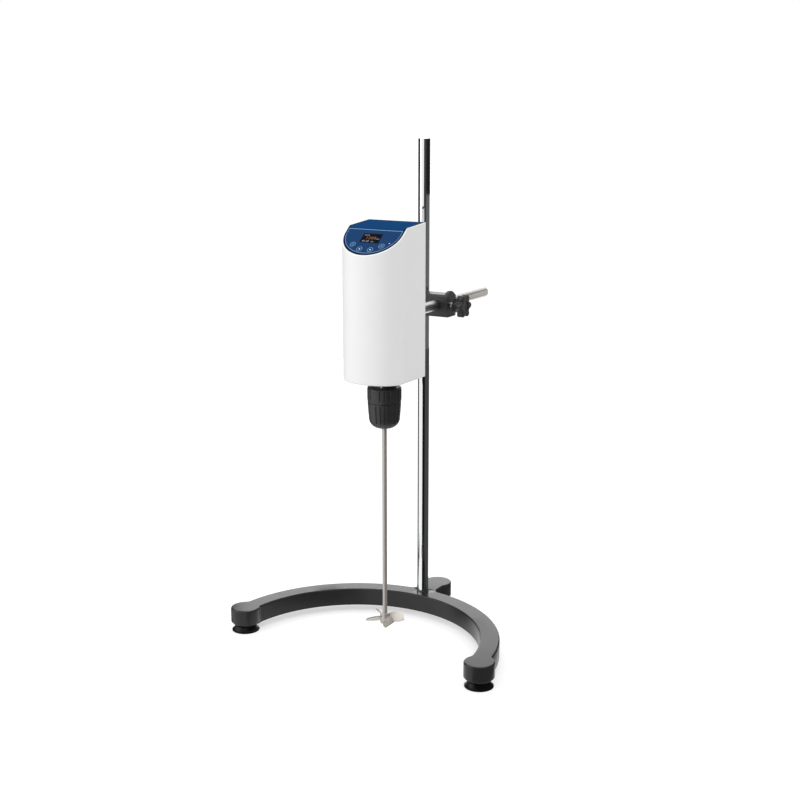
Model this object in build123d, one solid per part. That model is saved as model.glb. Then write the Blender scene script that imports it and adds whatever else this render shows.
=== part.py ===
from build123d import *
from math import atan, cos, degrees, radians, sin, tan
import os

# Overhead laboratory stirrer: a C-shaped base with a clamped stand rod carries a motor head
# on a horizontal arm; the head turns a keyless chuck that grips a propeller shaft.
# Millimetres, +Z up, +Y to the rear. Plan positions are measured from the centre of the
# base's arc; the last step moves everything to the middle of the plan outline.

# ---- base and feet ----
ring_outer_r = 187.5
ring_width = 25.0
base_thickness = 20.0
foot_height = 12.5
boss_r = 19.5
end_boss_inset = 10.0
end_boss_y = 7.5
rear_boss_reach = 36.5
neck_width = 30.0
inner_corner_r = 8.0
boss_taper_height = 4.5
base_edge_r = 2.0
foot_neck_r = 15.5
foot_dish_r = 18.4
foot_lip_height = 1.4
foot_screw_r = 3.0
foot_head_r = 6.0
foot_head_height = 3.6
foot_screw_grip = 12.0

# ---- stand rod ----
rod_r = 8.0
rod_inset = 6.5
rod_top_z = 654.0
rod_seat_depth = 6.0
rod_end_chamfer = 1.2
stud_r = 5.0
nut_pocket_depth = 10.0
nut_pocket_r = 12.0
washer_thickness = 1.6
nut_height = 7.0
nut_across_flats = 17.0

# ---- clamp and its two star knobs ----
clamp_left_x = -16.0
clamp_right_x = 41.4
clamp_depth = 25.0
clamp_height = 29.6
clamp_below_arm = 15.4
clamp_bevel = 2.6
ear_thickness = 5.0
ear_rise = 4.4
slide_clearance = 0.1
thread_clearance = 0.08
knob_screw_r = 4.0
knob_tip_gap = 0.05
knob_standoff = 5.6
knob_hub_r = 9.2
knob_hub_length = 8.3
knob_head_thickness = 8.2
knob_tip_r = 15.7
knob_valley_r = 11.0
knob_lobes = 6
knob_lobe_r = 4.3
knob_face_dish_r = 6.0
knob_face_dish_depth = 0.8

# ---- arm (horizontal extension rod) ----
arm_r = 7.0
arm_x = 24.0
arm_z = 438.5
arm_rear_y = 310.0
arm_end_chamfer = 1.0
arm_socket_r = 12.0
arm_socket_length = 12.0
arm_socket_bore = 14.0
arm_set_screw_r = 2.5
fit_clearance = 0.05

# ---- motor head ----
head_width = 83.0
head_flat_depth = 54.0
head_nose_depth = 30.0
head_back_y = 70.0
head_bottom_z = 365.0
head_top_z = 557.0
wall = 3.0
rim_width = 1.5
seam = 0.3
roof_pitch = 4.5
panel_pitch = 39.0
crease_y = 24.8
crease_r = 6.0
cap_thickness = 3.0
back_corner_r = 2.0
lower_edge_r = 2.2
screw_post_r = 4.5
screw_post_length = 17.0
post_side_offset = 4.0
low_post_rise = 18.0
high_post_drop = 24.0
cover_screw_r = 1.5
cover_screw_head_r = 2.8
cover_screw_head_height = 1.8
cover_screw_length = 12.0
vent_rows = 8
vent_pitch = 5.0
vent_width = 40.0
vent_height = 2.4
vent_centre_z = 500.0

# ---- control panel ----
overlay_thickness = 0.6
overlay_margin = 2.0
overlay_top_gap = 5.2
window_width = 26.5
window_height = 15.5
window_thickness = 1.4
window_y = 9.4
inner_key_offset = 7.5
outer_key_offset = 20.1
inner_key_y = -5.4
outer_key_y = 0.0
key_r = 4.1
key_gap = 0.3
key_rise = 0.3
key_travel = 0.4
key_flange_r = 5.4
key_flange_thickness = 0.8
switch_r = 3.0
switch_height = 2.2
board_thickness = 1.6
board_width = 56.0
display_lip = 1.2
display_gap = 0.4

# ---- motor ----
spindle_y = 39.0
spindle_r = 4.0
running_clearance = 0.05
shelf_thickness = 6.0
nose_r = 14.0
nose_drop = 7.0
bearing_r = 11.0
bearing_height = 7.0
bearing_step = 1.5
motor_r = 22.0
motor_height = 70.0
motor_wall = 2.0
motor_floor = 3.0
bell_thickness = 6.0
stator_height = 40.0
stator_bore_r = 12.2
stator_slots = 9
stator_slot_r = 2.2
rotor_r = 11.4
rotor_height = 44.0
frame_plate_thickness = 4.0
frame_plate_width = 56.0
frame_plate_height = 149.0
drive_board_width = 52.0
drive_board_height = 50.0
drive_board_z = 488.0
standoff_length = 5.0
standoff_r = 2.5
capacitor_r = 6.0
capacitor_length = 18.0
inlet_inset = 19.5
inlet_rise = 26.0
inlet_flange_r = 7.5
inlet_flange_thickness = 1.5
inlet_body_r = 5.5
inlet_body_length = 12.0
inlet_bore_r = 3.0
inlet_pin_r = 1.0

# ---- keyless chuck ----
chuck_gap = 3.9
rear_sleeve_height = 19.5
front_sleeve_height = 32.8
chuck_r = 21.5
chuck_split_r = 21.0
chuck_nose_r = 9.2
chuck_split_gap = 0.4
sleeve_bore_r = 15.0
core_gap = 0.4
core_tip_r = 8.0
core_hub_r = 12.0
chuck_bore_r = 5.3
chuck_bore_depth = 38.0
flute_groups = 5
rear_flute_turn = 15.0
flute_step = 17.0
flute_r = 1.3
flute_depth = 1.0
jaw_tilt = 13.0
jaw_r = 3.0
jaw_gap = 0.2
jaw_length = 20.0
jaw_axis_at_tip = 4.0
jaw_tip_drop = 0.6
jaw_grip_gap = 0.1
jaw_travel = 7.0
grub_r = 1.6
collar_r = 15.0
collar_height = 3.0
collar_grub_r = 1.2
collar_grub_turn = 16.0

# ---- shaft and propeller ----
shaft_r = 3.0
shaft_low_z = 38.5
shaft_top_in_chuck = 22.0
propeller_low_z = 40.0
propeller_hub_r = 6.0
propeller_hub_height = 14.0
propeller_r = 25.0
blade_count = 4
blade_root_pitch = 50.0
blade_tip_pitch = 28.0
blade_chord = 15.0
blade_thickness = 1.4

# ---- derived places ----
ring_inner_r = ring_outer_r - ring_width
end_boss_x = ring_outer_r - end_boss_inset
rear_boss_y = ring_outer_r + rear_boss_reach
rod_y = ring_outer_r - rod_inset
ring_mid_r = ring_outer_r - ring_width / 2
base_top_z = foot_height + base_thickness
foot_places = [(-end_boss_x, end_boss_y), (end_boss_x, end_boss_y), (0, rear_boss_y)]
nut_seat_z = foot_height + nut_pocket_depth
head_x = arm_x
half_width = head_width / 2
flat_front_y = head_back_y - head_flat_depth
head_front_y = flat_front_y - head_nose_depth
crease_z = head_top_z - tan(radians(roof_pitch)) * (head_back_y - crease_y)
cap_inset = rim_width + seam
shelf_z = head_bottom_z + wall
shelf_top_z = shelf_z + shelf_thickness
motor_top_z = shelf_top_z + motor_height
nose_low_z = head_bottom_z - nose_drop
chuck_top_z = nose_low_z - chuck_gap
chuck_split_z = chuck_top_z - rear_sleeve_height
chuck_bottom_z = chuck_split_z - front_sleeve_height
frame_plate_back_y = head_back_y - wall - 1.0
clamp_low_z = arm_z - clamp_below_arm
clamp_top_z = clamp_low_z + clamp_height
big = 3 * rod_top_z


# ---- helpers ----
def upright(x, y, radius, low, high):
    """Cylinder standing between two heights."""
    return Pos(x, y, (low + high) / 2) * Cylinder(radius, high - low)


def along_y(x, z, radius, front, rear):
    """Cylinder lying front to rear."""
    return Pos(x, (front + rear) / 2, z) * Rot(90, 0, 0) * Cylinder(radius, rear - front)


def along_x(y, z, radius, left, right):
    """Cylinder lying left to right."""
    return Pos((left + right) / 2, y, z) * Rot(0, 90, 0) * Cylinder(radius, right - left)


def block(x_low, x_high, y_low, y_high, z_low, z_high):
    """Box given by its two corners."""
    middle = Pos((x_low + x_high) / 2, (y_low + y_high) / 2, (z_low + z_high) / 2)
    return middle * Box(x_high - x_low, y_high - y_low, z_high - z_low)


def turned(outline):
    """Solid of revolution about Z from a closed outline drawn in radius and height."""
    return revolve(Plane.XZ * make_face(outline.edges()), axis=Axis.Z)


def spun(shape, count, turn=0.0):
    """Copies of a shape spaced evenly about Z."""
    return [Rot(0, 0, turn + 360 * i / count) * shape for i in range(count)]


def group(shapes):
    """Several separate solids kept in one node."""
    return Compound(children=[s.solid() for s in shapes])


# ---- base, feet and stand rod ----
def base_casting():
    """Cast C-shaped base: a half ring with tapered round bosses and a rear neck, drilled for feet and rod."""
    ring = Circle(ring_outer_r) - Circle(ring_inner_r)
    bars = ring & (Pos(0, end_boss_y + ring_outer_r) * Rectangle(3 * ring_outer_r, 2 * ring_outer_r))
    bars += Pos(0, (ring_mid_r + rear_boss_y) / 2) * Rectangle(neck_width, rear_boss_y - ring_mid_r)
    plan = bars
    for x, y in foot_places:
        plan += Pos(x, y) * Circle(boss_r)
    plan = offset(plan, inner_corner_r, kind=Kind.ARC)
    plan = offset(plan, -inner_corner_r, kind=Kind.ARC)
    casting = Pos(0, 0, foot_height) * extrude(plan, base_thickness)
    top_edges = casting.faces().sort_by(Axis.Z)[-1].edges()
    casting = fillet(top_edges, base_edge_r)
    low_edges = casting.faces().sort_by(Axis.Z)[0].edges()
    casting = chamfer(low_edges, base_edge_r / 2)
    reach = boss_r + inner_corner_r
    rise = boss_taper_height * (reach - foot_neck_r) / (boss_r - foot_neck_r)
    low = foot_height - 1
    rim = Polyline(
        (foot_neck_r, low), (reach, low), (reach, foot_height + rise), (foot_neck_r, foot_height), (foot_neck_r, low))
    keep = Pos(0, 0, low - 1) * extrude(bars, 2 * base_thickness)
    for x, y in foot_places:
        casting -= Pos(x, y, 0) * turned(rim) - keep
    casting -= upright(0, rod_y, rod_r + fit_clearance, base_top_z - rod_seat_depth, base_top_z + 1)
    casting -= upright(0, rod_y, stud_r + slide_clearance, foot_height, base_top_z)
    casting -= upright(0, rod_y, nut_pocket_r, foot_height - 1, nut_seat_z)
    for x, y in foot_places:
        casting -= upright(x, y, foot_screw_r + fit_clearance, foot_height - 1, foot_height + foot_screw_grip + 1)
    return casting


def foot_pad():
    """Rubber foot: a grooved neck over a flared suction dish, with a pocket for its screw."""
    pocket_r = foot_head_r + 0.6
    pocket_top = foot_lip_height + foot_head_height + 0.6
    waist_z = 0.42 * foot_height
    waist_r = foot_neck_r - 0.6
    outline = Polyline(
        (foot_screw_r + 0.3, pocket_top), (foot_screw_r + 0.3, foot_height), (foot_neck_r, foot_height),
        (foot_neck_r, 0.66 * foot_height), (foot_neck_r - 1.5, 0.55 * foot_height), (waist_r, waist_z))
    outline += ThreePointArc((waist_r, waist_z), (waist_r + 1.0, waist_z / 2 + 0.5), (foot_dish_r, foot_lip_height))
    outline += Polyline(
        (foot_dish_r, foot_lip_height), (foot_dish_r, 0), (foot_dish_r - 2.2, 0), (pocket_r, foot_lip_height),
        (pocket_r, pocket_top), (foot_screw_r + 0.3, pocket_top))
    return turned(outline)


def foot_screw():
    """Pan-head screw that holds a foot to the base."""
    head_top = foot_lip_height + foot_head_height + 0.6
    head = upright(0, 0, foot_head_r, head_top - foot_head_height, head_top)
    head = chamfer(head.edges().group_by(Axis.Z)[0], 1.0)
    return head + upright(0, 0, foot_screw_r, head_top, foot_height + foot_screw_grip)


def stand_rod():
    """Chromed rod with a threaded stud below that drops through the base."""
    rod = upright(0, rod_y, rod_r, base_top_z - rod_seat_depth, rod_top_z)
    rod = chamfer(rod.edges().group_by(Axis.Z)[-1], rod_end_chamfer)
    return rod + upright(0, rod_y, stud_r, foot_height + 0.8, base_top_z - rod_seat_depth)


def rod_washer():
    """Flat washer between the base and the nut."""
    ring = Cylinder(nut_pocket_r - 1, washer_thickness) - Cylinder(stud_r + slide_clearance, washer_thickness)
    return Pos(0, rod_y, nut_seat_z - washer_thickness / 2) * ring


def rod_nut():
    """Hexagon nut on the rod's stud, sunk in the base."""
    flats = RegularPolygon(nut_across_flats / 2, 6, major_radius=False) - Circle(stud_r + fit_clearance)
    low = nut_seat_z - washer_thickness - nut_height
    return Pos(0, rod_y, low) * extrude(flats, nut_height)


# ---- clamp ----
def clamp_body():
    """Boss-head clamp: a bevelled bar bored for the rod and the arm, with a raised ear at each end."""
    front = rod_y - clamp_depth / 2
    rear = rod_y + clamp_depth / 2
    bar = block(clamp_left_x, clamp_right_x, front, rear, clamp_low_z, clamp_top_z)
    long_edges = bar.edges().filter_by(Axis.X)
    bar = chamfer(long_edges.group_by(Axis.Z)[-1], clamp_bevel)
    bar = fillet(bar.edges().filter_by(Axis.X).group_by(Axis.Z)[0], clamp_bevel)
    ear_r = clamp_depth / 2
    ear_z = clamp_top_z + ear_rise - ear_r
    for left in (clamp_left_x, clamp_right_x - ear_thickness):
        ear = along_x(rod_y, ear_z, ear_r, left, left + ear_thickness)
        ear += block(left, left + ear_thickness, front, rear, clamp_low_z + clamp_bevel, ear_z)
        bar += fillet(ear.edges().filter_by(GeomType.CIRCLE), 1.0)
    bar -= upright(0, rod_y, rod_r + slide_clearance, clamp_low_z - 1, clamp_top_z + 1)
    bar -= along_y(arm_x, arm_z, arm_r + slide_clearance, front - 1, rear + 1)
    bar -= along_x(rod_y, arm_z, knob_screw_r + thread_clearance, clamp_left_x - 1, 0)
    bar -= along_x(rod_y, arm_z, knob_screw_r + thread_clearance, arm_x, clamp_right_x + 1)
    return bar


def knob_screw(tip_x, face_x):
    """Clamping screw from its tip on the rod to inside the knob, drawn along X."""
    outward = 1 if face_x > tip_x else -1
    end_x = face_x + outward * (knob_standoff + knob_hub_length)
    low, high = sorted((tip_x, end_x))
    screw = along_x(rod_y, arm_z, knob_screw_r, low, high)
    return chamfer(screw.edges().sort_by(Axis.X)[0 if outward > 0 else -1], 0.8)


def star_knob(face_x, outward):
    """Six-lobed star grip with a round hub, moulded on the clamping screw."""
    star = Circle(knob_valley_r)
    for i in range(knob_lobes):
        star += Rot(0, 0, 360 * (i + 0.5) / knob_lobes) * Pos(knob_tip_r - knob_lobe_r, 0) * Circle(knob_lobe_r)
    star = offset(offset(star, 1.5, kind=Kind.ARC), -1.5, kind=Kind.ARC)
    hub = Pos(0, 0, knob_standoff) * extrude(Circle(knob_hub_r), knob_hub_length)
    head_low = knob_standoff + knob_hub_length
    head = Pos(0, 0, head_low) * extrude(star, knob_head_thickness)
    head = chamfer(head.faces().sort_by(Axis.Z)[-1].edges(), 1.0)
    dish_z = head_low + knob_head_thickness - knob_face_dish_depth
    knob = hub + head - Pos(0, 0, dish_z) * extrude(Circle(knob_face_dish_r), knob_face_dish_depth + 1)
    knob -= extrude(Circle(knob_screw_r), head_low)
    return Pos(face_x, rod_y, arm_z) * Rot(0, 90 * outward, 0) * knob


# ---- arm ----
def arm_rod():
    """Brushed extension rod from the head's socket out through the clamp."""
    socket_end = head_back_y + arm_socket_length
    rod = along_y(arm_x, arm_z, arm_r, socket_end - arm_socket_bore, arm_rear_y)
    return chamfer(rod.edges().filter_by(GeomType.CIRCLE).group_by(Axis.Y)[-1], arm_end_chamfer)


def arm_set_screw():
    """Grub screw that pins the arm in its socket."""
    screw_y = head_back_y + arm_socket_length / 2
    return upright(arm_x, screw_y, arm_set_screw_r, arm_z + arm_r, arm_z + arm_socket_r)


# ---- head housing ----
def head_plan(inset, back_inset=0.0):
    """D-shaped plan of the head, drawn in from its walls."""
    half = half_width - inset
    rear = head_back_y - back_inset
    flat = Pos(head_x, (flat_front_y + rear) / 2) * Rectangle(2 * half, rear - flat_front_y)
    return flat + Pos(head_x, flat_front_y) * Ellipse(half, head_nose_depth - inset)


def head_prism(inset, back_inset=0.0, low=head_bottom_z):
    """The D plan carried from a height up past the roof."""
    return Pos(0, 0, low) * extrude(head_plan(inset, back_inset), head_top_z + wall - low)


def under_roof(depth):
    """Everything below the roof line, moved in square to its two faces by a depth."""
    flat_cos = cos(radians(roof_pitch))
    steep_cos = cos(radians(panel_pitch))
    flat_tan = tan(radians(roof_pitch))
    steep_tan = tan(radians(panel_pitch))
    ridge_y = crease_y + depth * (1 / flat_cos - 1 / steep_cos) / (flat_tan - steep_tan)
    ridge_z = crease_z + flat_tan * (ridge_y - crease_y) - depth / flat_cos
    reach = head_flat_depth + head_nose_depth
    front = (ridge_y - reach, ridge_z - steep_tan * reach)
    rear = (ridge_y + reach, ridge_z + flat_tan * reach)
    line = FilletPolyline(front, (ridge_y, ridge_z), rear, radius=crease_r - depth)
    line += Polyline(rear, (rear[0], 0), (front[0], 0), front)
    return extrude(Plane.YZ * make_face(line.edges()), head_x + head_width, both=True)


panel = Plane(
    origin=(head_x, crease_y, crease_z),
    x_dir=(1, 0, 0),
    z_dir=(0, -sin(radians(panel_pitch)), cos(radians(panel_pitch))))


def panel_v(plan_y):
    """Distance up the panel, from the crease, of a point given by its plan position."""
    return (plan_y - crease_y) / cos(radians(panel_pitch))


key_places = [
    (-outer_key_offset, panel_v(outer_key_y)), (-inner_key_offset, panel_v(inner_key_y)),
    (inner_key_offset, panel_v(inner_key_y)), (outer_key_offset, panel_v(outer_key_y))]
window_v = panel_v(window_y)
post_x = half_width - wall - post_side_offset
low_post_z = head_bottom_z + low_post_rise
high_post_z = head_top_z - high_post_drop
post_places = [(sx * post_x, z) for sx in (-1, 1) for z in (low_post_z, high_post_z)]


def head_shell():
    """Moulded shell: D-shaped walls open at the rear, with a rebated top edge and screw posts."""
    shell = head_prism(0) & under_roof(0)
    rear_edges = shell.edges().filter_by(Axis.Z).group_by(Axis.Y)[-1]
    shell = fillet(rear_edges, back_corner_r)
    shell = fillet(shell.faces().sort_by(Axis.Z)[0].outer_wire().edges(), lower_edge_r)
    shell -= head_prism(wall, -1, low=head_bottom_z - 1)
    shell -= head_prism(rim_width, -1) - under_roof(cap_thickness)
    for x, z in post_places:
        post = along_y(head_x + x, z, screw_post_r, head_back_y - wall - screw_post_length, head_back_y - wall)
        post &= head_prism(wall / 2)
        shell += post - along_y(head_x + x, z, cover_screw_r + fit_clearance, 0, head_back_y)
    return shell


def top_cap():
    """Coloured lid: flat roof and inclined panel in one moulding, cut for overlay, window and keys."""
    cap = head_prism(cap_inset) & (under_roof(0) - under_roof(cap_thickness))
    cap -= overlay_blank()
    cap -= panel * Pos(0, window_v, 0) * Box(window_width, window_height, 2 * window_thickness)
    opening = Box(window_width - 2 * display_lip, window_height - 2 * display_lip, 3 * cap_thickness)
    cap -= panel * Pos(0, window_v, 0) * opening
    for u, v in key_places:
        cap -= panel * Pos(u, v, 0) * Cylinder(key_r + key_gap, 3 * cap_thickness)
    return cap


def overlay_blank():
    """Outline of the printed overlay, sunk flush in the inclined panel."""
    sheet = head_prism(cap_inset + overlay_margin) & (under_roof(0) - under_roof(overlay_thickness))
    below = panel * Pos(0, -overlay_top_gap - big / 2, 0) * Box(big, big, big)
    return sheet & below


def keypad_overlay():
    """Printed overlay with openings for the window and the four keys."""
    sheet = overlay_blank()
    sheet -= panel * Pos(0, window_v, 0) * Box(window_width, window_height, 4 * overlay_thickness)
    for u, v in key_places:
        sheet -= panel * Pos(u, v, 0) * Cylinder(key_r + key_gap, 4 * overlay_thickness)
    return sheet


def display_window():
    """Dark acrylic window over the display."""
    return panel * Pos(0, window_v, -window_thickness / 2) * Box(window_width, window_height, window_thickness)


def key_button(u, v):
    """Round key: a stem through the lid with a flange under it."""
    stem_low = -cap_thickness - 0.05
    stem = Pos(u, v, (stem_low + key_rise) / 2) * Cylinder(key_r, key_rise - stem_low)
    stem = fillet(stem.edges().group_by(Axis.Z)[-1], 0.25)
    flange = Pos(u, v, stem_low - key_flange_thickness / 2) * Cylinder(key_flange_r, key_flange_thickness)
    return panel * (stem + flange)


switch_top_w = -cap_thickness - 0.05 - key_flange_thickness - key_travel - 0.1
board_top_w = switch_top_w - switch_height


def dome_switches():
    """Four tactile switches standing on the control board under the keys."""
    body = Cylinder(switch_r, switch_height)
    return group([panel * Pos(u, v, switch_top_w - switch_height / 2) * body for u, v in key_places])


def control_board():
    """Circuit board parallel to the panel, with its fixing posts up to the lid."""
    low_v = min(v for u, v in key_places) - switch_r - 0.6
    high_v = window_v + window_height / 2 + 2.0
    board = panel * Pos(0, (low_v + high_v) / 2, board_top_w - board_thickness / 2) * Box(
        board_width, high_v - low_v, board_thickness)
    return board & head_prism(wall + 1)


def board_posts():
    """Two moulded spacers between the lid and the control board."""
    post_length = -cap_thickness - board_top_w
    spacer = Cylinder(2.0, post_length)
    offset_u = board_width / 2 - 4.0
    return group([
        panel * Pos(side * offset_u, window_v + window_height / 3, board_top_w + post_length / 2) * spacer
        for side in (-1, 1)])


def display_module():
    """Display block standing on the board behind the window."""
    width = window_width - 2 * display_lip - 2 * display_gap
    height = window_height - 2 * display_lip - 2 * display_gap
    top = -window_thickness - display_gap
    return panel * Pos(0, window_v, (top + board_top_w) / 2) * Box(width, height, top - board_top_w)


def rear_cover():
    """Flat back cover with vent slots, the arm socket's hole, the inlet's hole and screw holes."""
    gap = 0.15
    half = half_width - wall - gap
    plate = block(
        head_x - half, head_x + half, head_back_y - wall, head_back_y, head_bottom_z, head_top_z + wall)
    plate &= under_roof(cap_thickness + gap)
    plate -= along_y(arm_x, arm_z, arm_socket_r + slide_clearance, head_back_y - 2 * wall, head_back_y + wall)
    inlet = along_y(inlet_x, inlet_z, inlet_body_r + fit_clearance, head_back_y - 2 * wall, head_back_y + wall)
    plate -= inlet
    slot = SlotOverall(vent_width, vent_height)
    for i in range(vent_rows):
        z = vent_centre_z + (i - (vent_rows - 1) / 2) * vent_pitch
        cutter = extrude(Plane(origin=(head_x, head_back_y, z), x_dir=(1, 0, 0), z_dir=(0, 1, 0)) * slot, 2 * wall, both=True)
        plate -= cutter
    for x, z in post_places:
        plate -= along_y(head_x + x, z, cover_screw_r + fit_clearance, head_back_y - 2 * wall, head_back_y + wall)
        head_hole = along_y(
            head_x + x, z, cover_screw_head_r + 0.2, head_back_y - cover_screw_head_height, head_back_y + wall)
        plate -= head_hole
    return plate


def cover_screws():
    """Four screws through the rear cover into the shell's posts."""
    screws = []
    for x, z in post_places:
        head_low = head_back_y - cover_screw_head_height
        head = along_y(head_x + x, z, cover_screw_head_r, head_low, head_back_y)
        drive = along_y(head_x + x, z, 1.2, head_back_y - 1.0, head_back_y + 1)
        screws.append(head - drive + along_y(head_x + x, z, cover_screw_r, head_low - cover_screw_length, head_low))
    return group(screws)


def bottom_plate():
    """Plate that closes the underside round the bearing nose."""
    gap = 0.15
    plate = Pos(0, 0, head_bottom_z) * extrude(head_plan(wall + gap, wall + gap), wall)
    plate -= upright(head_x, spindle_y, nose_r + 0.2, head_bottom_z - 1, head_bottom_z + wall + 1)
    for x, y in plate_screw_places:
        plate -= upright(x, y, cover_screw_r + fit_clearance, head_bottom_z - 1, head_bottom_z + wall + 1)
        plate -= upright(
            x, y, cover_screw_head_r + 0.2, head_bottom_z - 1, head_bottom_z + cover_screw_head_height)
    return plate


plate_screw_offset = half_width - wall - 8.0
plate_screw_places = [
    (head_x + side * plate_screw_offset, y)
    for side in (-1, 1) for y in (flat_front_y + 2.0, head_back_y - wall - 12.0)]
inlet_x = head_x - half_width + inlet_inset
inlet_z = head_bottom_z + inlet_rise


def bottom_screws():
    """Four screws that hold the bottom plate up to the motor frame."""
    screws = []
    for x, y in plate_screw_places:
        seat = head_bottom_z + cover_screw_head_height
        head = upright(x, y, cover_screw_head_r, head_bottom_z, seat)
        head -= upright(x, y, 1.2, head_bottom_z - 1, head_bottom_z + 1.0)
        screws.append(head + upright(x, y, cover_screw_r, seat, shelf_top_z - 1))
    return group(screws)


# ---- motor ----
def motor_frame():
    """Cast frame: bottom shelf with the bearing nose, back plate and the arm's socket."""
    gap = 0.3
    frame = Pos(0, 0, shelf_z) * extrude(head_plan(wall + gap, wall + 1.0), shelf_thickness)
    frame += upright(head_x, spindle_y, nose_r, nose_low_z, shelf_z)
    plate_front = frame_plate_back_y - frame_plate_thickness
    half = frame_plate_width / 2
    frame += block(
        head_x - half, head_x + half, plate_front, frame_plate_back_y, shelf_z, shelf_z + frame_plate_height)
    socket_end = head_back_y + arm_socket_length
    frame += along_y(arm_x, arm_z, arm_socket_r, plate_front, socket_end)
    frame -= along_y(arm_x, arm_z, arm_r + fit_clearance, socket_end - arm_socket_bore, socket_end + 1)
    frame -= upright(
        arm_x, head_back_y + arm_socket_length / 2, arm_set_screw_r + fit_clearance, arm_z, arm_z + arm_socket_r)
    frame -= upright(head_x, spindle_y, spindle_r + 2, nose_low_z - 1, shelf_top_z + 1)
    frame -= upright(head_x, spindle_y, bearing_r + 0.02, nose_low_z - 1, nose_low_z + bearing_step + bearing_height)
    frame -= along_y(inlet_x, inlet_z, inlet_body_r + 1.5, plate_front - 1, frame_plate_back_y + 1)
    for x, y in plate_screw_places:
        frame -= upright(x, y, cover_screw_r + fit_clearance, shelf_z - 1, shelf_top_z + 1)
    return frame


def bearing(low):
    """Ball bearing drawn as one ring with shallow shield grooves."""
    ring = upright(head_x, spindle_y, bearing_r, low, low + bearing_height)
    ring -= upright(head_x, spindle_y, spindle_r + running_clearance, low - 1, low + bearing_height + 1)
    mid_r = (bearing_r + spindle_r) / 2
    for z in (low - 0.6, low + bearing_height - 0.4):
        ring -= upright(head_x, spindle_y, mid_r + 2, z, z + 1) - upright(head_x, spindle_y, mid_r - 1.6, z, z + 1)
    return ring


def motor_can():
    """Drawn motor can standing on the frame's shelf."""
    can = upright(head_x, spindle_y, motor_r, shelf_top_z, motor_top_z)
    can -= upright(head_x, spindle_y, motor_r - motor_wall, shelf_top_z + motor_floor, motor_top_z + 1)
    return can - upright(head_x, spindle_y, spindle_r + 2, shelf_top_z - 1, motor_top_z)


bell_bearing_low = motor_top_z - bearing_height / 2


def motor_bell():
    """Upper end bell that closes the can and holds the upper bearing."""
    bell = upright(head_x, spindle_y, motor_r, motor_top_z, motor_top_z + bell_thickness)
    bell += upright(head_x, spindle_y, motor_r - motor_wall - 0.05, bell_bearing_low, motor_top_z)
    return bell - upright(
        head_x, spindle_y, bearing_r + 0.02, bell_bearing_low - 1, bell_bearing_low + bearing_height)


def stator_core():
    """Laminated stator ring with winding slots."""
    low = shelf_top_z + motor_floor + 8.0
    ring = upright(0, 0, motor_r - motor_wall - 0.05, low, low + stator_height)
    ring -= upright(0, 0, stator_bore_r, low - 1, low + stator_height + 1)
    slot_place = (motor_r - motor_wall + stator_bore_r) / 2
    for slot in spun(upright(slot_place, 0, stator_slot_r, low - 1, low + stator_height + 1), stator_slots):
        ring -= slot
    return Pos(head_x, spindle_y, 0) * ring


def rotor_magnet():
    """Magnet rotor pressed on the spindle."""
    low = shelf_top_z + motor_floor + 6.0
    ring = Cylinder(rotor_r, rotor_height) - Cylinder(spindle_r, rotor_height)
    return Pos(head_x, spindle_y, low + rotor_height / 2) * ring


spindle_low_z = chuck_bottom_z + chuck_bore_depth + 1.0


def spindle():
    """Steel motor spindle from the chuck to the upper bearing."""
    return upright(head_x, spindle_y, spindle_r, spindle_low_z, bell_bearing_low + bearing_height - 0.5)


def drive_board():
    """Motor drive board on standoffs, with two capacitors."""
    plate_front = frame_plate_back_y - frame_plate_thickness
    back = plate_front - standoff_length
    front = back - board_thickness
    half = drive_board_width / 2
    tall = drive_board_height / 2
    board = block(head_x - half, head_x + half, front, back, drive_board_z - tall, drive_board_z + tall)
    for sx in (-1, 1):
        for sz in (-1, 1):
            board += along_y(
                head_x + sx * (half - 4), drive_board_z + sz * (tall - 4), standoff_r, back, plate_front)
        board += along_y(head_x + sx * half / 2, drive_board_z, capacitor_r, front - capacitor_length, front)
    return board


def dc_inlet():
    """Low-voltage inlet jack: flange outside the cover, sleeve inside, centre pin."""
    body = along_y(inlet_x, inlet_z, inlet_body_r, head_back_y - inlet_body_length, head_back_y)
    body += along_y(inlet_x, inlet_z, inlet_flange_r, head_back_y, head_back_y + inlet_flange_thickness)
    body -= along_y(
        inlet_x, inlet_z, inlet_bore_r, head_back_y - inlet_body_length + 2, head_back_y + inlet_flange_thickness + 1)
    return body + along_y(inlet_x, inlet_z, inlet_pin_r, head_back_y - inlet_body_length + 1, head_back_y)


# ---- chuck ----
core_r = sleeve_bore_r - core_gap
jaw_tip_z = chuck_bottom_z - jaw_tip_drop
jaw_hole_length = jaw_length + jaw_travel + 2.0
taper_z = chuck_bottom_z + 0.43 * front_sleeve_height
hub_z = chuck_split_z + 0.29 * rear_sleeve_height
collar_top_z = chuck_top_z + collar_height


def at_jaw(shape):
    """Place a shape drawn along Z on the first jaw's inclined axis, starting at the jaw's tip."""
    return Pos(jaw_axis_at_tip, 0, jaw_tip_z) * Rot(0, jaw_tilt, 0) * shape


def chuck_body():
    """Steel core: stepped body with a tapered nose, shaft bore and three inclined jaw holes."""
    outline = Polyline(
        (0, chuck_bottom_z), (core_tip_r, chuck_bottom_z), (core_r, taper_z), (core_r, hub_z), (core_hub_r, hub_z),
        (core_hub_r, chuck_top_z + 1.0), (0, chuck_top_z + 1.0), (0, chuck_bottom_z))
    core = turned(outline)
    core -= upright(0, 0, chuck_bore_r, chuck_bottom_z - 1, chuck_bottom_z + chuck_bore_depth)
    core -= upright(0, 0, spindle_r, spindle_low_z, chuck_top_z + 2)
    hole = at_jaw(Pos(0, 0, jaw_hole_length / 2 - 2) * Cylinder(jaw_r + jaw_gap, jaw_hole_length + 4))
    for cut in spun(hole, 3):
        core -= cut
    return Pos(head_x, spindle_y, 0) * core


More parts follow.
